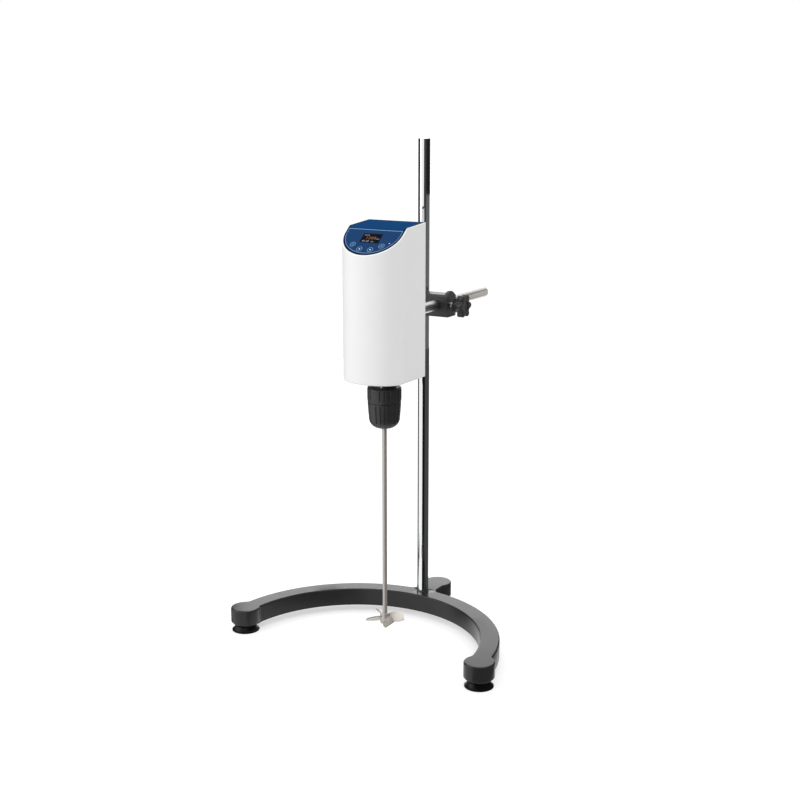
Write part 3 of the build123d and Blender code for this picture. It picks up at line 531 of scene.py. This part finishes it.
def swept(name, rows, closed=False):
    """Mesh from closed cross-sections in millimetres, its ends capped or joined."""
    count = len(rows[0])
    points = [Vector(p) * mm for row in rows for p in row]
    faces = []
    for i in range(len(rows) if closed else len(rows) - 1):
        here, there = i * count, (i + 1) % len(rows) * count
        for j in range(count):
            k = (j + 1) % count
            faces.append((here + j, here + k, there + k, there + j))
    if not closed:
        faces += [tuple(range(count)), tuple(range(len(points) - count, len(points)))]
    mesh = bpy.data.meshes.new(name)
    mesh.from_pydata(points, [], faces)
    return mesh


def wall_height(surface, y, step):
    """Height of a point of the wall's section: from the bottom edge, the roof or the lid's ledge."""
    start = {"bottom": head_low, "roof": roof_height(y), "ledge": roof_height(y, lid_thickness)}[surface]
    return start + step


section = [(lower_edge_r * (1 - cos(radians(18 * i))), "bottom", lower_edge_r * (1 - sin(radians(18 * i))))
           for i in range(6)]
section += [(wall, "bottom", 0), (wall, "ledge", 0), (rim, "ledge", 0), (rim, "roof", -0.3)]
section += [(1.2, "roof", 0), (0.6, "roof", 0), (0.3, "roof", -0.12), (0.12, "roof", -0.3), (0, "roof", -0.6)]
section_paths = [head_path(inset) for inset, surface, step in section]
wall_rows = []
for i, (x, y) in enumerate(head_path(0)):
    back = max(0.0, y - (head_rear - corner_r))
    round_in = corner_r - sqrt(max(0.0, corner_r ** 2 - back ** 2))
    toward = 1 if x < head_x else -1
    row = []
    for (inset, surface, step), path in zip(section, section_paths):
        px, py = path[i]
        row.append((x + toward * round_in if inset < round_in else px, py, wall_height(surface, py, step)))
    wall_rows.append(row)
shell_mesh = swept("white_shell", wall_rows)
shell = bmesh.new()
shell.from_mesh(shell_mesh)
post_offset, post_r, post_length = 34.5, 4.5, 17.0
low_post_z, high_post_z = head_low + 18.0, head_high - 24.0
for side in (-1, 1):
    for z in (low_post_z, high_post_z):
        place = Vector((head_x + side * post_offset, head_rear - wall - post_length / 2, z)) * mm
        bmesh.ops.create_cone(
            shell, cap_ends=True, segments=32, radius1=post_r * mm, radius2=post_r * mm,
            depth=post_length * mm, matrix=Matrix.Translation(place) @ Matrix.Rotation(pi / 2, 4, "X"))
shell.to_mesh(shell_mesh)
shell.free()
solid("white_shell", shell_mesh, white.material, "head", ["head_shell"], sharp=40)

# ---------------------------------------------------------------- rear cover and underside
# White cover with cooling slots, screwed to the shell's posts, and a grey plate under the motor
# frame with its own four screws.
class Rule(Nodes):
    """A Geometry Nodes tree with named sizes, run once on a mesh that comes back plain."""

    def __init__(self, name, **sizes):
        self.tree = bpy.data.node_groups.new(name, "GeometryNodeTree")
        self.sizes = {label.replace("_", " "): value for label, value in sizes.items()}
        for way in ("INPUT", "OUTPUT"):
            self.tree.interface.new_socket("Geometry", in_out=way, socket_type="NodeSocketGeometry")
        for label in self.sizes:
            self.tree.interface.new_socket(label, in_out="INPUT", socket_type="NodeSocketFloat")
        self.start = self.tree.nodes.new("NodeGroupInput")
        self.end = self.tree.nodes.new("NodeGroupOutput")

    def given(self, label):
        """One of the tree's own inputs."""
        return Val(self.tree, self.start.outputs[label])

    def run(self, mesh, shaped, paint):
        """Evaluate the tree on a mesh and give back the result as a plain mesh."""
        real = self.node("GeometryNodeRealizeInstances", inputs={"Geometry": shaped})
        feed(self.tree, self.end.inputs["Geometry"], self.node(
            "GeometryNodeSetMaterial", inputs={"Geometry": real, "Material": paint}))
        carrier = bpy.data.objects.new(mesh.name + "_carrier", mesh)
        bpy.context.scene.collection.objects.link(carrier)
        modifier = carrier.modifiers.new("rule", "NODES")
        modifier.node_group = self.tree
        for item in self.tree.interface.items_tree:
            if item.in_out == "INPUT" and item.name in self.sizes:
                modifier[item.identifier] = self.sizes[item.name]
        evaluated = carrier.evaluated_get(bpy.context.evaluated_depsgraph_get())
        plain = bpy.data.meshes.new_from_object(evaluated)
        bpy.data.objects.remove(carrier)
        return plain


screw_head_r, screw_head_height = 2.8, 1.8


def four_screws(name, length, across, along, at, tilt, stands_for):
    """Pan-head screws at the corners of a rectangle, their heads up before they are tilted."""
    head_r, shank_r, drive_r, drive_depth = screw_head_r, 1.5, 1.2, 1.0
    tip = -screw_head_height - length
    outline = [(0, tip), (shank_r - 0.4, tip), (shank_r, tip + 0.4), (shank_r, -screw_head_height)]
    outline += [(head_r, -screw_head_height), (head_r, -0.6), (head_r - 0.2, -0.2), (head_r - 0.6, 0)]
    outline += [(drive_r, 0), (drive_r - 0.1, -drive_depth), (0, -drive_depth)]
    rule = Rule(name, Across=across * mm, Along=along * mm)
    corners = rule.node("GeometryNodeMeshGrid", inputs={
        "Size X": rule.given("Across"), "Size Y": rule.given("Along"), "Vertices X": 2, "Vertices Y": 2})
    screws = rule.node("GeometryNodeInstanceOnPoints", inputs={
        "Points": corners, "Instance": rule.given("Geometry")})
    mesh = rule.run(lathe(name, outline, rings=32), screws, zinc.material)
    mesh.transform(Matrix.Translation(Vector(at) * mm) @ tilt)
    solid(name, mesh, zinc.material, "head", [stands_for])


dressed("rear_cover", white.material, "head")
rear_screw_length = 12.0
four_screws("rear_screws", rear_screw_length, 2 * post_offset, high_post_z - low_post_z,
            (head_x, head_rear, (low_post_z + high_post_z) / 2), rearward, "cover_screws")
underside = Finish("grey_moulding", (0.2, 0.2, 0.21))
underside.set("Roughness", 0.42 + 0.16 * underside.noise(1.5))
dressed("bottom_plate", underside.material, "head")
screws_low, screws_high = (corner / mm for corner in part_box("bottom_screws"))
screws_middle, screws_size = (screws_low + screws_high) / 2, screws_high - screws_low
four_screws("underside_screws", screws_size.z - screw_head_height, screws_size.x - 2 * screw_head_r,
            screws_size.y - 2 * screw_head_r, (screws_middle.x, screws_middle.y, screws_low.z),
            Matrix.Rotation(pi, 4, "X"), "bottom_screws")

# ---------------------------------------------------------------- lid
# Satin blue moulding with a gently pitched roof and a steep front, bedded in the shell's rim,
# with a dark navy strip all round it that is painted shade of the seam between rim and lid.
blue = Finish("blue_moulding", Specular_IOR_Level=0.0)
blue_flow = blue.noise(20.0, 2.0)
blue.set("Base Color", blue.mix(blue_flow, (0.007, 0.046, 0.14), (0.009, 0.052, 0.155)))
blue.set("Roughness", 0.46 + 0.08 * blue_flow)
dressed("top_cap", blue.material, "head", sharp=24)


def ribbon(name, outer, inner, low, high, paint, body):
    """Flat closed strip on the lid between two outlines, from one height over its surface to another."""
    rows = [[(ax, ay, roof_height(ay) + low), (ax, ay, roof_height(ay) + high),
             (bx, by, roof_height(by) + high), (bx, by, roof_height(by) + low)]
            for (ax, ay), (bx, by) in zip(outer, inner)]
    solid(name, swept(name, rows, closed=True), paint, body)


# Dark navy strip between the rim and the lid: painted shade, standing for the shadow in the seam.
seam_shade_paint = Finish("painted_seam_shade", (0.003, 0.01, 0.04), Specular_IOR_Level=0.03)
seam_shade_paint.set("Roughness", 0.34 + 0.12 * seam_shade_paint.noise(3.0))
seam_shade_in, print_top = 3.7, 0.04
ribbon("lid_seam_shade", head_path(rim, head_rear - rim), head_path(seam_shade_in, head_rear - seam_shade_in), -0.5, print_top,
       seam_shade_paint.material, "head")

# ---------------------------------------------------------------- control panel
# Printed film flush in the sloped front, with a pale border whose wider top line is partly print and
# partly a painted highlight of the crease, a smoked window over the readout and four round keys,
# each with a ring and a sign of its own.
film = Finish("printed_film", Specular_IOR_Level=0.08)
film.set("Base Color", film.mix(film.noise(14.0), (0.001, 0.03, 0.112), (0.001, 0.037, 0.128)))
film.set("Roughness", 0.38 + 0.1 * film.noise(0.7))
dressed("keypad_overlay", film.material, "head", sharp=24)
smoked = Finish("smoked_acrylic", (0.002, 0.003, 0.005), Specular_IOR_Level=0.03)
smoked.set("Roughness", 0.1 + 0.05 * smoked.noise(6.0))
dressed("display_window", smoked.material, "head")

pale = Finish("pale_print", (0.17, 0.33, 0.56), Specular_IOR_Level=0.2)
pale.set("Roughness", 0.45 + 0.1 * pale.noise(1.0))
bright = Finish("white_print", (0.75, 0.8, 0.85), Specular_IOR_Level=0.2)
bright.set("Roughness", 0.45 + 0.1 * bright.noise(1.0))
overlay_in = head_half - (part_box("keypad_overlay")[1].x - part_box("keypad_overlay")[0].x) / mm / 2
# The border's top line is drawn wider than its sides: partly printed border, partly a painted highlight of
# the crease.
border_width, top_line_and_highlight_width, top_line_gap = 0.5, 0.8, 5.2
top_line_y = crease_y - top_line_gap * cos(radians(panel_pitch))
border_in = overlay_in + border_width
border_back = top_line_y - top_line_and_highlight_width * cos(radians(panel_pitch))
ribbon("panel_border_and_crease_highlight", head_path(overlay_in, top_line_y), head_path(border_in, border_back), -0.1, print_top,
       pale.material, "head")


def panel_spot(u, v, w):
    """Point of the sloped panel: across it, up it from the crease, and out from it."""
    along, out = cos(radians(panel_pitch)), sin(radians(panel_pitch))
    return (head_x + u, crease_y + v * along - w * out, crease_z + v * out + w * along)


def panel_v(setback):
    """Distance up the panel of a place, from how far forward of the head's rear it lies."""
    return (head_rear - setback - crease_y) / cos(radians(panel_pitch))


def printed(name, outline, u, v, lift, paint, body, hole=()):
    """Thin printed shape on the panel from its outline in millimetres, with a hole of as many points."""
    print_depth = 0.05
    shape = [(u + a, v + b) for a, b in outline]
    if hole:
        inner = [(u + a, v + b) for a, b in hole]
        rows = [[panel_spot(*p, lift), panel_spot(*p, lift + print_depth), panel_spot(*q, lift + print_depth),
                 panel_spot(*q, lift)] for p, q in zip(shape, inner)]
    else:
        rows = [[panel_spot(*p, w) for p in shape] for w in (lift, lift + print_depth)]
    solid(name, swept(name, rows, closed=bool(hole)), paint, body)


def arc(radius, start=0.0, end=360.0, steps=48):
    """Points round an arc about the middle of a printed shape."""
    return [(radius * cos(radians(start + (end - start) * i / steps)),
             radius * sin(radians(start + (end - start) * i / steps))) for i in range(steps + 1)]


key_print, ring_in, ring_out = 0.28, 3.25, 3.85
outer_key_u, inner_key_u = 20.1, 7.5
outer_key_v, inner_key_v = panel_v(70.0), panel_v(75.4)
keys = {"power": (-outer_key_u, outer_key_v), "down": (-inner_key_u, inner_key_v),
        "up": (inner_key_u, inner_key_v), "set": (outer_key_u, outer_key_v)}
pointer = [(-1.25, -0.8), (1.25, -0.8), (0, 1.3)]
for name, (u, v) in keys.items():
    body = name + "_key"
    dressed("key_" + name, film.material, body)
    printed(name + "_ring", arc(ring_out)[:-1], u, v, key_print, pale.material, body, hole=arc(ring_in)[:-1])


def oblong(half_width, low, high):
    """Outline of an upright rectangle about a sign's middle."""
    return [(-half_width, low), (half_width, low), (half_width, high), (-half_width, high)]


gap_from, gap_to = 125.0, 415.0
power_sign = arc(1.6, gap_from, gap_to) + arc(1.1, gap_to, gap_from)
printed("power_arc", power_sign, *keys["power"], key_print, pale.material, "power_key")
printed("power_bar", oblong(0.25, 0.3, 2.0), *keys["power"], key_print, pale.material, "power_key")
printed("up_pointer", pointer, *keys["up"], key_print, bright.material, "up_key")
printed("down_pointer", [(-a, -b) for a, b in pointer], *keys["down"], key_print, bright.material, "down_key")
bar_half_width, bar_half_height, bar_step = 1.6, 0.22, 1.1
for i in (-1, 0, 1):
    bar = oblong(bar_half_width, i * bar_step - bar_half_height, i * bar_step + bar_half_height)
    printed(f"menu_bar_{i + 2}", bar, *keys["set"], key_print, pale.material, "set_key")
lamp_u, lamp_v, lamp_r = 28.3, panel_v(65.8), 0.7
printed("running_lamp", arc(lamp_r, steps=20)[:-1], lamp_u, lamp_v, 0, bright.material, "head")


# ---------------------------------------------------------------- readout
# Lit figures of the display behind the smoked window: speed in amber, time and units in white.
def glowing(name, colour, strength):
    """Paint for lit segments."""
    paint = Finish(name, colour, Roughness=0.5, Specular_IOR_Level=0.0, Emission_Strength=strength)
    paint.set("Emission Color", paint.mix(paint.noise(0.8), colour, [0.85 * c for c in colour]))
    return paint.material


def figures(name, words, u, v, height, paint):
    """Words of the readout, as thin raised figures on the window."""
    capital_share, half_depth = 0.7, 0.02
    curve = bpy.data.curves.new(name, "FONT")
    curve.body = words
    curve.size = height / capital_share
    curve.extrude = half_depth
    curve.space_character = 1.15
    curve.resolution_u = 3
    writing = bpy.data.objects.new(name + "_curve", curve)
    mesh = bpy.data.meshes.new_from_object(writing)
    for vertex in mesh.vertices:
        a, b, c = vertex.co
        vertex.co = Vector(panel_spot(u + a, v + b, c + half_depth)) * mm
    bpy.data.objects.remove(writing)
    solid(name, mesh, paint, "head")


amber = glowing("amber_segments", (0.22, 0.1, 0.06), 0.5)
lit_white = glowing("white_segments", (0.3, 0.31, 0.33), 0.3)
window_v = panel_v(60.6)
figures("speed_figures", "1200", -7.5, window_v - 1.6, 4.4, amber)
figures("speed_unit", "rpm", 6.6, window_v - 1.4, 2.0, lit_white)
figures("mode_sign", "RUN", -10.8, window_v + 4.0, 2.0, lit_white)
figures("time_figures", "00:30", -10.6, window_v - 6.2, 2.6, lit_white)
figures("time_unit", "min", 1.6, window_v - 6.2, 1.8, lit_white)

# ---------------------------------------------------------------- keyless chuck
# Steel core with three inclined jaws inside two fluted grip sleeves of glass-filled nylon. The
# lower sleeve turns to move the jaws; a grub screw locks the chuck on the spindle.
grip = Finish("grip_nylon")
grip_flow = grip.noise(1.8, 4.0)
grip.set("Base Color", grip.mix(grip_flow, (0.016, 0.016, 0.017), (0.03, 0.03, 0.031)))
grip.set("Roughness", 0.34 + 0.16 * grip_flow)
chuck_axis = sum(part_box("chuck_body"), Vector()) / 2 / mm
chuck_axis.z = 0
core_r = (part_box("chuck_body")[1].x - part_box("chuck_body")[0].x) / 2 / mm
chuck_bottom, sleeve_top = (corner.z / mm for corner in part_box("chuck_front_sleeve"))
chuck_split, collar_top = (corner.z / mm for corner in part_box("chuck_rear_sleeve"))
chuck_r, split_r, nose_r, collar_r, hub_r = 21.5, 21.0, 9.2, 15.0, 12.0
collar_height, flute_foot, flute_margin = 3.0, 4.5, 3.0


def arc_through(first, middle, last, steps=10):
    """Points of the arc through three points of an outline."""
    (ax, ay), (bx, by), (cx, cy) = first, middle, last
    area = 2 * (ax * (by - cy) + bx * (cy - ay) + cx * (ay - by))
    a2, b2, c2 = ax * ax + ay * ay, bx * bx + by * by, cx * cx + cy * cy
    ox = (a2 * (by - cy) + b2 * (cy - ay) + c2 * (ay - by)) / area
    oy = (a2 * (cx - bx) + b2 * (ax - cx) + c2 * (bx - ax)) / area
    centre = Vector((ox, oy))
    start, end = Vector(first) - centre, Vector(last) - centre
    turn = start.angle_signed(end)
    return [tuple(centre + Matrix.Rotation(-turn * i / steps, 2) @ start) for i in range(steps + 1)]


def stepped(outline, step=0.7):
    """The same outline with points no further apart than a step."""
    points = []
    for (ax, ay), (bx, by) in zip(outline, outline[1:] + outline[:1]):
        parts = max(1, round(sqrt((bx - ax) ** 2 + (by - ay) ** 2) / step))
        points += [(ax + (bx - ax) * i / parts, ay + (by - ay) * i / parts) for i in range(parts)]
    return points


def fluted(name, outline, low, high, turn, body, node):
    """Sleeve of revolution with round-bottomed flutes sunk in its outside, in groups of three."""
    rule = Rule(name, Groups=5.0, Turn=radians(turn), Step=radians(17.0), Flute_Radius=1.3, Depth=1.0,
                Low=low, High=high, Skin=core_r + 2.0)
    here = rule.node("GeometryNodeInputPosition")
    x, y, z = (rule.node("ShaderNodeSeparateXYZ", inputs={"Vector": here}, output=i) / mm for i in range(3))
    radius = (x * x + y * y) ** 0.5
    sector = 2 * pi / rule.given("Groups")
    angle = y.sum_of("ARCTAN2", y, x) - rule.given("Turn")
    angle = angle.sum_of("WRAP", angle, sector * 0.5, sector * -0.5)
    steps = angle / rule.given("Step")
    nearest = steps.sum_of("ROUND", steps).at_least(-1.0)
    nearest = nearest.sum_of("MINIMUM", nearest, 1.0)
    aside = (angle - nearest * rule.given("Step")) * radius
    past = (rule.given("Low") - z).at_least(0.0) + (z - rule.given("High")).at_least(0.0)
    flute = rule.given("Flute Radius")
    reach = flute * flute - aside * aside - past * past
    sunk = reach.at_least(0.0) ** 0.5 - (flute - rule.given("Depth"))
    share = sunk.at_least(0.0) * radius.above(rule.given("Skin")) / radius * -mm
    move = rule.node("ShaderNodeCombineXYZ", inputs={"X": x * share, "Y": y * share})
    cut = rule.node("GeometryNodeSetPosition", inputs={"Geometry": rule.given("Geometry"), "Offset": move})
    mesh = rule.run(lathe(name, stepped(outline), rings=540), cut, grip.material)
    mesh.transform(Matrix.Translation(chuck_axis * mm))
    solid(name, mesh, grip.material, body, [node], sharp=38)


rear_top = collar_top - collar_height
hub_z = chuck_split + 0.29 * (rear_top - chuck_split)
rear_outline = [(core_r, chuck_split), (split_r - 0.3, chuck_split), (split_r, chuck_split + 0.3)]
rear_outline += [(chuck_r, hub_z)]
shoulder = (chuck_r - 0.75, rear_top - 0.75)
rear_outline += arc_through((chuck_r, rear_top - 2.5), shoulder, (chuck_r - 2.5, rear_top))
rear_outline += [(collar_r, rear_top), (collar_r, collar_top - 0.3), (collar_r - 0.3, collar_top)]
rear_outline += [(hub_r, collar_top), (hub_r, hub_z), (core_r, hub_z)]
fluted("rear_grip", rear_outline, chuck_split + flute_foot, rear_top - flute_margin, 15.0, "spindle",
       "chuck_rear_sleeve")

sleeve_height = sleeve_top - chuck_bottom
waist = (chuck_r - 2.0, chuck_bottom + 0.4 * sleeve_height)
front_outline = [(core_r + 0.4, sleeve_top), (split_r - 0.3, sleeve_top), (split_r, sleeve_top - 0.3)]
front_outline += [(chuck_r - 1.1, chuck_bottom + 0.7 * sleeve_height)]
belly = (chuck_r - 3.8, chuck_bottom + 0.18 * sleeve_height)
front_outline += arc_through(waist, belly, (nose_r + 1.2, chuck_bottom))
cone_top = chuck_bottom + 0.43 * (chuck_split - chuck_bottom) + 1.0
front_outline += [(nose_r, chuck_bottom), (core_r + 0.4, cone_top)]
fluted("front_grip", front_outline, chuck_bottom + 0.26 * sleeve_height, sleeve_top - flute_margin, 0.0,
       "chuck_sleeve", "chuck_front_sleeve")
dressed("chuck_body", ground.material, "spindle")
for i in (1, 2, 3):
    dressed(f"chuck_jaw_{i}", ground.material, f"jaw_{i}")

grub_r, grub_turn, drive_r = 1.15, 16.0, 0.5
grub_outline = [(0, hub_r), (grub_r, hub_r), (grub_r, collar_r + 0.1), (grub_r - 0.15, collar_r + 0.25)]
grub_outline += [(drive_r, collar_r + 0.25), (drive_r, collar_r - 0.8), (0, collar_r - 0.8)]
turned("collar_grub", grub_outline, zinc.material, "spindle", ["chuck_grub"],
       (chuck_axis.x, chuck_axis.y, collar_top - collar_height / 2),
       Matrix.Rotation(radians(grub_turn), 4, "Z") @ Matrix.Rotation(pi / 2, 4, "X"), rings=32)

# ---------------------------------------------------------------- stirring shaft and propeller
# Satin stainless shaft with a four-bladed propeller locked on its lower end.
satin = Finish("satin_stainless", Metallic=0.6)
draw = satin.noise(1.2, 3.0, (2.5, 2.5, 0.06))
satin.set("Base Color", satin.mix(draw, (0.42, 0.39, 0.35), (0.62, 0.59, 0.55)))
satin.set("Roughness", 0.24 + 0.16 * draw)
dressed("stirring_shaft", satin.material, "shaft")
dressed("propeller", satin.material, "shaft")
dressed("propeller_screw", zinc.material, "shaft")
